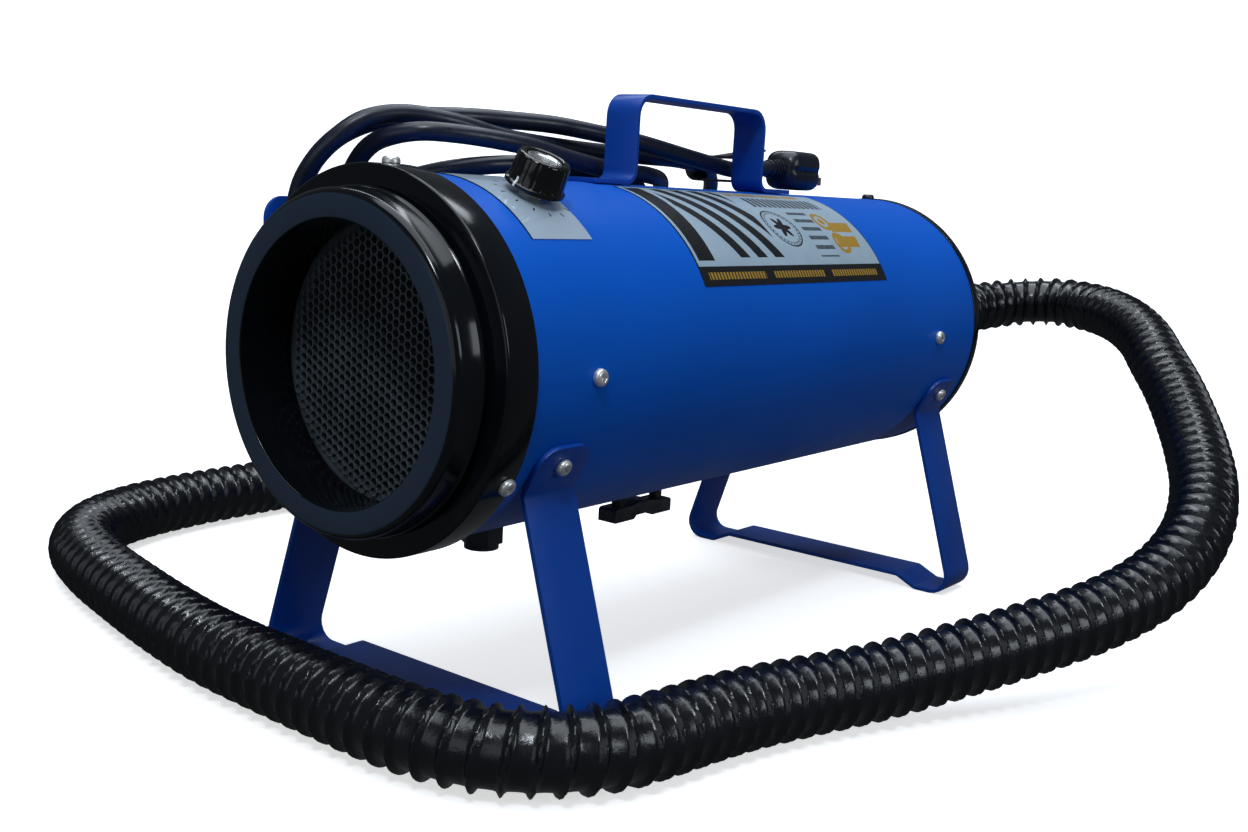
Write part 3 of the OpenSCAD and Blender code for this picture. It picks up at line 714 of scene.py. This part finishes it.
def ringed_flower(t, u, v, centre):
    """A flower with six petals inside two rings, with dashes between them."""
    far, turns = polar(t, u, v, centre)
    wave = t.calc("COSINE", t.calc("MULTIPLY", turns, 12 * pi))
    petals = t.calc("ADD", 7.5, t.calc("MULTIPLY", 2.6, wave))
    return t.either(
        t.window(far, 16.6, 17.8), t.window(far, 14.2, 14.7), t.calc("LESS_THAN", far, petals),
        t.both(t.window(far, 15, 16.2), repeat(t, turns, 1 / 30, 0.3)),
    )


def coin(t, u, v, centre):
    """A dot in a ring."""
    far, _ = polar(t, u, v, centre)
    return t.either(t.window(far, 6, 9.5), t.calc("LESS_THAN", far, 3.5))


def label_silver():
    """A silver label: black bars and stripes, a ringed flower, and gold bars, coins and dashes."""
    t = surface("label_silver", (0.36, 0.47, 0.57), 0.34, metal=0.15, patches=(40, 0.06),
                grain=(900, 0.04, 0.00001), swing=0.04)
    u, v = surface_place(t)
    wide = LABEL["y2"] - LABEL["y1"]
    high = radians(LABEL["a2"] - LABEL["a1"]) * TUBE_R
    frame_line = t.either(
        t.calc("LESS_THAN", u, 1.1), t.calc("GREATER_THAN", u, wide - 1.1),
        t.calc("GREATER_THAN", v, high - 1.1),
    )
    foot = t.calc("LESS_THAN", v, 13)
    post = t.both(t.window(u, 4, 21), t.window(v, 17, high - 3))
    slant = t.calc("ADD", u, t.calc("MULTIPLY", v, 0.55))
    stripes = t.both(
        t.window(slant, 62, 152), t.window(v, 19, high - 3), t.window(u, 26, 104),
        repeat(t, slant, 20.5, 0.56),
    )
    seal = ringed_flower(t, u, v, (127, 45))
    stack = t.both(
        t.window(u, 152, 177), t.window(v, 19, 62), repeat(t, v, 8.4, 0.42),
        repeat(t, t.calc("ADD", u, t.calc("MULTIPLY", v, 3)), 3.3, 0.8),
    )
    row = t.both(t.window(u, 120, 213), t.window(v, 68, 82), repeat(t, u, 6.4, 0.6))
    ink = t.either(frame_line, foot, post, stripes, seal, stack, row)
    bars = t.both(
        t.window(t.calc("SUBTRACT", u, t.calc("MULTIPLY", v, 0.35)), 176, 205),
        t.either(t.window(v, 27, 37), t.window(v, 41, 51)),
    )
    coins = [coin(t, u, v, centre) for centre in ((188, 52), (192, 31))]
    ribbon = t.both(t.window(v, 86, 91), t.window(u, 112, 206), repeat(t, u, 31, 0.9))
    dashes = t.both(
        t.window(v, 4.2, 9), repeat(t, u, 3.4, 0.62),
        repeat(t, t.calc("SUBTRACT", u, 8), 74, 0.86), t.window(u, 8, wide - 6),
    )
    t.paint(ink, LABEL_INK)
    t.paint(t.either(bars, *coins, ribbon, dashes), LABEL_GOLD)
    return t


FINISHES = {
    f.__name__: f
    for f in (
        blue_paint, strap_paint, black_trim, nose_trim, screen_black, foam, bright_steel, dark_steel,
        knob_black, knob_silver, marks_white, dark_plastic, clamp_grey, cast_grey, steel, alloy,
        gasket_rubber, carbon, cuff_rubber, hose_vinyl, nozzle_black, lead_rubber, plug_black,
        pin_metal, tie_black, plate_white, label_silver,
    )
}
made = {}


def material_for(name):
    if name not in made:
        made[name] = FINISHES[name]().material
    return made[name]


# ---- Camera, floor and light ----


def add_camera():
    """Looks at the intake end from the +X side, slightly from above and a little tilted."""
    yaw, pitch, roll = CAMERA_YAW, CAMERA_PITCH, CAMERA_ROLL
    look = Vector((-sin(yaw) * cos(pitch), cos(yaw) * cos(pitch), -sin(pitch)))
    level = Vector((cos(yaw), sin(yaw), 0))
    rise = level.cross(look)
    right = cos(roll) * level + sin(roll) * rise
    up = cos(roll) * rise - sin(roll) * level
    camera = bpy.data.objects.new("camera", bpy.data.cameras.new("camera"))
    bpy.context.scene.collection.objects.link(camera)
    camera.data.sensor_width = SENSOR_MM
    camera.data.lens = LENS_MM
    turn = Matrix((right, up, -look)).transposed().to_4x4()
    camera.matrix_world = Matrix.Translation(CAMERA_AT) @ turn
    bpy.context.scene.camera = camera


def add_floor():
    """A pale round floor that curves up into a backdrop on every side."""
    centre, flat, bend, top, sides, steps = 0.5, 2.8, 1.2, 4.0, 128, 12
    profile = [(centre, 0), (flat, 0)]
    profile += [
        (flat + bend * sin(a), bend - bend * cos(a))
        for a in [pi / 2 * i / steps for i in range(1, steps + 1)]
    ]
    profile.append((flat + bend, top))
    verts, faces = revolve(profile, sides)
    faces = [f[::-1] for f in faces[: (len(profile) - 1) * sides]] + [list(range(sides))]
    mesh = bpy.data.meshes.new("floor")
    mesh.from_pydata(verts, [], faces)
    mesh.polygons.foreach_set("use_smooth", [True] * len(mesh.polygons))
    floor = bpy.data.objects.new("floor", mesh)
    bpy.context.scene.collection.objects.link(floor)
    t = Tree("floor")
    paler = t.blend(t.noise(2), (0.88, 0.89, 0.9, 1), (0.92, 0.92, 0.92, 1))
    t.links.new(paler, t.shader.inputs["Base Color"])
    t.shader.inputs["Roughness"].default_value = 0.9
    t.shader.inputs["Emission Color"].default_value = (1, 1, 1, 1)
    t.shader.inputs["Emission Strength"].default_value = 0.64
    mesh.materials.append(t.material)
    floor.visible_diffuse = False
    floor.visible_glossy = False


def add_lights():
    """A dim sky and five soft lamps, all the colour of daylight."""
    world = bpy.data.worlds.new("studio")
    bpy.context.scene.world = world
    world.use_nodes = True
    background = world.node_tree.nodes["Background"]
    background.inputs["Color"].default_value = (*DAYLIGHT, 1)
    background.inputs["Strength"].default_value = 0.09
    bpy.context.scene.view_settings.view_transform = "Standard"
    for name, place, aim, size, power in (
        ("overhead", (0.0, -0.1, 2.5), (0, 0, 0), (2.2, 2.8), 52),
        ("window", (0.75, -1.25, 1.9), (0.1, -0.2, 0.1), (0.26, 0.36), 12),
        ("side", (2.4, 0.2, 1.0), (0, 0, 0.2), (1.2, 0.8), 11),
        ("front", (0.15, -1.7, 0.55), (0, -0.3, 0.2), (1.4, 0.9), 2.5),
        ("back_wall", (-1.3, 1.4, 2.6), (-1.9, 2.6, 0.8), (2.5, 1.5), 70),
    ):
        light = bpy.data.objects.new(name, bpy.data.lights.new(name, "AREA"))
        light.data.shape = "RECTANGLE"
        light.data.size, light.data.size_y = size
        light.data.energy = power
        light.data.color = DAYLIGHT
        light.location = place
        light.rotation_euler = (Vector(aim) - Vector(place)).to_track_quat("-Z", "Y").to_euler()
        bpy.context.scene.collection.objects.link(light)


# ---- Hose, lead and what is on them ----


def add_hose():
    """The hose, from the cuff on the outlet to the nozzle on its far end."""
    verts, faces, line, length = corrugated(HOSE_ROUTE)
    hose = add("hose_look", verts, faces, "hose_vinyl", ["hose"], crease=60)
    cuff = add_cuff()
    nozzle = add_nozzle()


def add_cuff():
    """The hose's soft end over the outlet spigot, with a lip and a few folds."""
    long, fold_r, fold = CUFF_END - CUFF_AT, 25.6, 0.35
    folds = [
        (fold_r + fold * sin(z * 0.55) ** 2 * (1 - z / long), z) for z in range(12, long - 24, 2)
    ]
    outline = (
        [(23.1, 0.4)] + arc(27.1, 1.4, 1.4, 270, 360, 4) + arc(27.3, 6, 1.2, 0, 80, 4) + folds
        + [(25.2, long - 23), (23.9, long - 16), (23.4, long - 12), (23.6, long - 2), (23, long)]
        + [(19, long), (19, 42), (23.1, 42)]
    )
    place = on_axis(CUFF_AT)
    return add("hose_cuff_look", *revolve(outline), "cuff_rubber", ["hose_cuff"], place=place)


def add_nozzle():
    """The tapered hand nozzle, with grip rings behind its taper."""
    rings = []
    for z in range(4, 32, 4):
        rings += [(23.0, z - 1.2), (23.6, z - 0.4), (23.6, z + 0.4), (23.0, z + 1.2)]
    outline = (
        [(17, 0), (22.6, 0), (23.0, 0.6)] + rings + [(23.0, 34), (22.0, 37), (14.0, 90)]
        + arc(13.4, 95, 0.8, 20, 90, 3) + arc(12.4, 103.4, 0.6, 0, 90, 3)
        + arc(11.1, 103.4, 0.6, 90, 180, 3) + [(10.5, 96), (17, 40)]
    )
    place = at_end(HOSE_ROUTE)
    return add("nozzle_look", *revolve(outline, 96), "nozzle_black", ["nozzle"], place=place)


def add_lead():
    """The mains lead, from its strain relief to its plug, with the tie round its turns."""
    verts, faces, line, length = plain_cord(LEAD_ROUTE, LEAD_R)
    lead = add("mains_lead_look", verts, faces, "lead_rubber", ["mains_lead"], crease=60)
    relief = add_strain_relief()
    plug = add_plug()
    pins = soften("plug_pins", "pin_metal", 0.25)
    tie = soften("cord_tie", "tie_black", 0.35)


def add_strain_relief():
    """A tapered bush with flex grooves where the lead leaves the housing."""
    taper, grooves = [], 6
    for i in range(grooves):
        z = 108 + i * 4.2
        r = 9.2 - i * 0.42
        taper += [(r, z), (r - 0.1, z + 2.4), (r - 1.1, z + 2.7), (r - 1.2, z + 3.9)]
    outline = (
        [(0, 94), (7.9, 94), (7.9, 102.7), (10.6, 102.7)] + arc(10.5, 104.4, 0.6, 0, 80, 3)
        + [(9.4, 106.5)] + taper + [(6.9, 133.4), (6.4, 133.8), (0, 133.8)]
    )
    place = out_of(*GLAND)
    shape = turned(outline, 64)
    return add("strain_relief_look", *shape, "lead_rubber", ["strain_relief"], place=place)


def rounded_square(z, half, power, groove):
    """A ring of a soft square, with a shallow groove down its +X and -X sides."""
    ring, groove_half = [], 0.16
    for k in range(PLUG_SIDES):
        a = 2 * pi * k / PLUG_SIDES
        r = half * (abs(cos(a)) ** power + abs(sin(a)) ** power) ** (-1 / power)
        off = min(abs(a), abs(a - pi), abs(a - 2 * pi))
        r -= groove * max(0, 1 - (off / groove_half) ** 2)
        ring.append((r * cos(a), r * sin(a), z))
    return ring


def add_plug():
    """A moulded three-pin plug: ribbed boot, shoulders, grooved body and a flat face."""
    sections = [(0.2, 6.0, 2, 0), (0.6, 6.6, 2, 0)]
    for i in range(4):
        z, half = 2 + 3.6 * i, 6.9 + 0.45 * i
        sections += [(z, half, 2, 0), (z + 1.8, half, 2, 0)]
        sections += [(z + 2.1, half - 0.9, 2, 0), (z + 3.3, half - 0.8, 2, 0)]
    sections += [(17, 10.4, 2.2, 0), (19, 12.8, 2.6, 0.4), (22, 14.4, 3.2, 1.4), (26, 15, 3.6, 2.2),
                 (46, 15, 3.6, 2.2), (53.5, 14.9, 3.6, 2), (55.3, 14.4, 3.6, 1.2), (56, 13.6, 3.6, 0.5)]
    verts = [v for section in sections for v in rounded_square(*section)]
    faces = capped_rings(len(sections), PLUG_SIDES)
    place = at_end(LEAD_ROUTE)
    return add("plug_body_look", verts, faces, "plug_black", ["plug_body"], place=place)


# ---- Housing and intake ----


def add_intake():
    """The nose ring with its lip, and the ring over the tube's front end."""
    nose = (
        [(BORE_R, SCREEN_AT - 4)] + arc(BORE_R + 0.8, 0.8, 0.8, 180, 270, 4)
        + arc(NOSE_R - 4.6, 4.6, 4.6, 270, 358, 10)
        + [(NOSE_R + 0.3, 15.4), (NOSE_R + 0.8, 16.4), (NOSE_R + 1.5, 17.1), (NOSE_R + 1.6, 17.8),
           (NOSE_R + 1.2, 18.3), (NOSE_R - 1, 18.7), (NOSE_R - 1, FLANGE_AT), (80, FLANGE_AT),
           (80, SCREEN_AT), (BORE_R + 1.2, SCREEN_AT), (BORE_R + 1.2, SCREEN_AT - 4)]
    )
    shape = revolve(nose, INTAKE_SIDES)
    piece = add("intake_nose_look", *shape, "nose_trim", ["intake_nose"], place=on_axis(0))
    # The record lists the nose with the rest of the black trim
    flange = (
        [(80.2, FLANGE_AT)] + arc(FLANGE_R - 1.6, FLANGE_AT + 1.6, 1.6, 270, 360, 6)
        + arc(FLANGE_R - 0.9, FLANGE_END - 0.9, 0.9, 0, 90, 5)
        + [(TUBE_R + 0.1, FLANGE_END), (TUBE_R + 0.1, 26), (99.9, 26), (99.9, 50), (95, 50),
           (95, 26), (84, 26), (84, 50), (BORE_R, 50), (BORE_R, 47), (80.2, 47)]
    )
    shape = revolve(flange, INTAKE_SIDES)
    add("intake_flange_look", *shape, "black_trim", ["intake_flange"], place=on_axis(0))


def honeycomb(pitch, wall, rim_r, thick):
    """A round plate of hexagonal cells, closed at its rim by a thin ring."""
    column = pitch * sqrt(3) / 2
    reach = int(rim_r / column) + 1
    one = cell(pitch / sqrt(3), wall / sqrt(3), thick)
    parts = []
    for i in range(-reach, reach + 1):
        for j in range(-reach, reach + 1):
            x, y = i * column, (j + (i % 2) / 2) * pitch
            if hypot(x, y) + pitch / sqrt(3) < rim_r + 1.5:
                parts.append(moved(one, Matrix.Translation((x, y, 0))))
    outer, inner = rim_r + 3.6, rim_r - 6.5
    rim = [(outer, 0.6), (outer, thick), (inner, thick), (inner, thick - 0.5)]
    parts.append(revolve(rim, 96))
    return joined(parts)


def cell(corner_r, wall, thick):
    """One hexagonal cell: its rim on both faces, its wall inside, and a rounded edge."""
    rows = [
        (corner_r, 0.12), (corner_r - wall * 0.55, 0), (corner_r - wall, 0.18),
        (corner_r - wall, thick - 0.15), (corner_r, thick - 0.15),
    ]
    points = [
        (r * cos(pi / 3 * k), r * sin(pi / 3 * k), z) for r, z in rows for k in range(6)
    ]
    return points, rings_to_faces(len(rows), 6)


def add_screen():
    """The honeycomb across the intake's bore."""
    shape = honeycomb(CELL_PITCH, CELL_WALL, BORE_R, 3)
    place = on_axis(SCREEN_AT)
    add("intake_screen_look", *shape, "screen_black", ["intake_screen"], place=place, crease=30)


def add_end_plate():
    """The rear plate, its skirt inside the tube and its rim outside, with two turned grooves."""
    outline = (
        [(23.1, 3), (TUBE_R - 8, 3), (TUBE_R - 8, -18), (TUBE_R - 1.6, -18), (TUBE_R - 1.6, 0)]
        + arc(TUBE_R + 0.3, 0.6, 0.6, 270, 360, 3) + arc(TUBE_R - 0.6, 7.2, 1.5, 0, 90, 5)
        + [(60, 8.7), (58.5, 8.2), (57, 8.7), (40, 8.7), (38.6, 8.2), (37, 8.7), (23.1, 8.7)]
    )
    shape = revolve(outline, END_PLATE_SIDES)
    add("end_plate_look", *shape, "black_trim", ["end_plate"], place=on_axis(END_PLATE_AT))


def skin(name, area, thick, slot, node, steps=40):
    """A thin sheet on the tube, with the millimetres along and round the tube in its UV map."""
    y1, y2 = area["y1"], area["y2"]
    angles = [radians(area["a1"] + (area["a2"] - area["a1"]) * i / steps) for i in range(steps + 1)]
    loop = [(TUBE_R + thick, a) for a in angles] + [(TUBE_R - 0.02, a) for a in reversed(angles)]
    verts = [(r * cos(a), station(y), AXIS_H + r * sin(a)) for y in (y1, y2) for r, a in loop]
    n = len(loop)
    faces = [[k, (k + 1) % n, n + (k + 1) % n, n + k] for k in range(n)]
    faces += [
        [side + k, side + k + 1, side + n - 2 - k, side + n - 1 - k]
        for side in (0, n)
        for k in range(steps)
    ]
    piece = add(name, verts, faces, slot, [node])
    layer = piece.data.uv_layers.new(name="print")
    for corner, uv in zip(piece.data.loops, layer.data):
        p = piece.data.vertices[corner.vertex_index].co / MM
        turn = atan2(p.z - AXIS_H, p.x) - radians(area["a1"])
        uv.uv = (p.y - station(y1), turn * TUBE_R)
    return piece


# ---- Screws ----

ROUND, HEX = "round", "hex"


def screw(shank, head_r=5.0, head_h=3.9):
    """A button-head screw with a hexagon socket, its head above Z = 0."""
    steps, dome, socket_r, dome_r, dome_h = 48, 8, 2.3, 2.9, 1.3
    rings = [
        (0.01, -shank, ROUND), (2.0, -shank, ROUND), (2.4, 0.5 - shank, ROUND), (2.4, 0, ROUND),
        (head_r - 0.3, 0, ROUND), (head_r, 0.3, ROUND),
    ]
    for i in range(dome + 1):
        a = pi / 2 * i / dome
        rings.append((dome_r + (head_r - dome_r) * cos(a), dome_h + (head_h - dome_h) * sin(a), ROUND))
    rings += [
        (2.45, head_h, HEX), (socket_r, head_h - 0.2, HEX), (socket_r, head_h - 2.0, HEX),
        (0.01, head_h - 2.5, ROUND),
    ]
    points = []
    for r, z, kind in rings:
        for k in range(steps):
            a = 2 * pi * k / steps
            side = a % (pi / 3) - pi / 6
            far = r * cos(pi / 6) / cos(side) if kind == HEX else r
            points.append((far * cos(a), far * sin(a), z))
    return points, rings_to_faces(len(rings), steps)


def add_screws():
    """Every set of button-head screws, each screw turned its own way."""
    top = TUBE_R + STRAP
    for node, places, r, shank, slot in (
        ("flange_screws", [(a, FLANGE_SCREWS_AT) for a in (90, 210, 330)], FLANGE_R, 9.5, "bright_steel"),
        ("end_plate_screws", [(a, END_SCREWS_AT) for a in (90, 180, 270)], TUBE_R, 7.5, "dark_steel"),
        ("leg_screws", [(a, y) for a in LEG_ANGLES for y in LEGS_AT], top, 8, "bright_steel"),
        ("hook_screws", [(HOOK_ANGLE, y) for y in HOOKS_AT], TUBE_R + HOOK_T, 7.5, "bright_steel"),
        ("mount_screws", [(a, y) for a in (0, 120, 240) for y in MOUNTS_AT], TUBE_R, 11, "bright_steel"),
    ):
        turns = [Matrix.Rotation(radians(17 + 71 * i), 4, "Z") for i in range(len(places))]
        parts = [moved(screw(shank), out_of(a, y, r) @ turn) for (a, y), turn in zip(places, turns)]
        piece = add(node + "_look", *joined(parts), slot, [node], crease=32)


# ---- Speed knob ----


def fluted(outline, flutes, depth, steps=192):
    """A turned shape with shallow flutes in the part of it that carries them."""
    points = []
    for r, z, share in outline:
        for k in range(steps):
            a = 2 * pi * k / steps
            off = r - depth * share * (0.5 - 0.5 * cos(flutes * a)) ** 4
            points.append((off * cos(a), off * sin(a), z))
    return points, rings_to_faces(len(outline), steps)


def add_knob():
    """The fluted knob, the bright disc in its top and a white line down its skirt."""
    place = out_of(KNOB_ANGLE, KNOB_AT, TUBE_R)
    outline = [(3.1, 12, 0), (3.1, 4.4, 0), (16.8, 4.4, 0), (17.3, 4.8, 0), (17.3, 6.6, 0), (16.9, 7.0, 0),
               (16.3, 7.3, 0), (15.9, 8.2, 1), (15.6, 14, 1), (15.2, 20.6, 1), (14.9, 21.6, 0.6),
               (14.2, 22.4, 0), (13.2, 22.8, 0), (11.6, 22.8, 0), (10.9, 22.4, 0), (10.6, 21.6, 0),
               (10.4, 20.4, 0), (0.01, 20.4, 0)]
    add("knob_look", *fluted(outline, 16, 0.3), "knob_black", ["knob"], "speed_knob", place, 30)
    hollow = [(7.4 * cos(a), 21.35 - 0.5 * sin(a)) for a in [pi / 2 * i / 8 for i in range(8)]]
    dish = [(0, 20.5), (10.0, 20.5)] + arc(9.7, 21.5, 0.3, 0, 90, 3) + [(8.6, 21.8), (8.2, 21.4)]
    dish += hollow + [(0, 20.85)]
    disc = add("knob_disc_look", *turned(dish, 96), "knob_silver", ["knob_disc"], "speed_knob", place, 30)
    layer = disc.data.uv_layers.new(name="rings")
    back = (Matrix.Scale(MM, 4) @ place).inverted()
    for corner, uv in zip(disc.data.loops, layer.data):
        p = back @ disc.data.vertices[corner.vertex_index].co
        uv.uv = (p.x * MM, p.y * MM)
    add_white_line(place)


def add_white_line(place):
    """A white line down the knob's skirt and grip, on its side towards the intake."""
    path = [(17.36, 4.9), (17.36, 6.6), (16.95, 7.05), (16.0, 8.2), (15.9, 10.5)]
    half, depth = 0.75, 0.5
    verts = []
    for r, z in path:
        verts += [(-half, -r, z), (half, -r, z), (half, -r + depth, z), (-half, -r + depth, z)]
    faces = capped_rings(len(path), 4)
    piece = add("knob_white_line", verts, faces, "marks_white", (), "speed_knob", place)


# ---- Nodes that keep their CAD shape ----


def dress_nodes():
    """Gives each CAD node its finish, which shows on those that no piece replaces."""
    for entry in frame["record"]["subparts"]:
        node = frame["nodes"][entry["node"]]
        node.data.materials.clear()
        node.data.materials.append(material_for(entry["material_slot"]))


# ---- The whole dryer ----

add_camera()
add_hose()
add_lead()
dress_nodes()
add_floor()
add_lights()
add_intake()
add_screen()
add_end_plate()
add_screws()
add_knob()
skin("control_plate_look", PLATE, 0.5, "plate_white", "control_plate")
skin("side_label_look", LABEL, 0.25, "label_silver", "side_label")
for strap in ("front_leg", "rear_leg", "handle", "cord_hooks"):
    soften(strap, "strap_paint", 0.45)
soften("breaker_cap", "dark_plastic", 0.8, crease=60)
soften("handle_screws", "bright_steel", 0.1)
soften("belly_clamp", "clamp_grey", 0.7)
soften("belly_clamp_studs", "clamp_grey", 0.3)
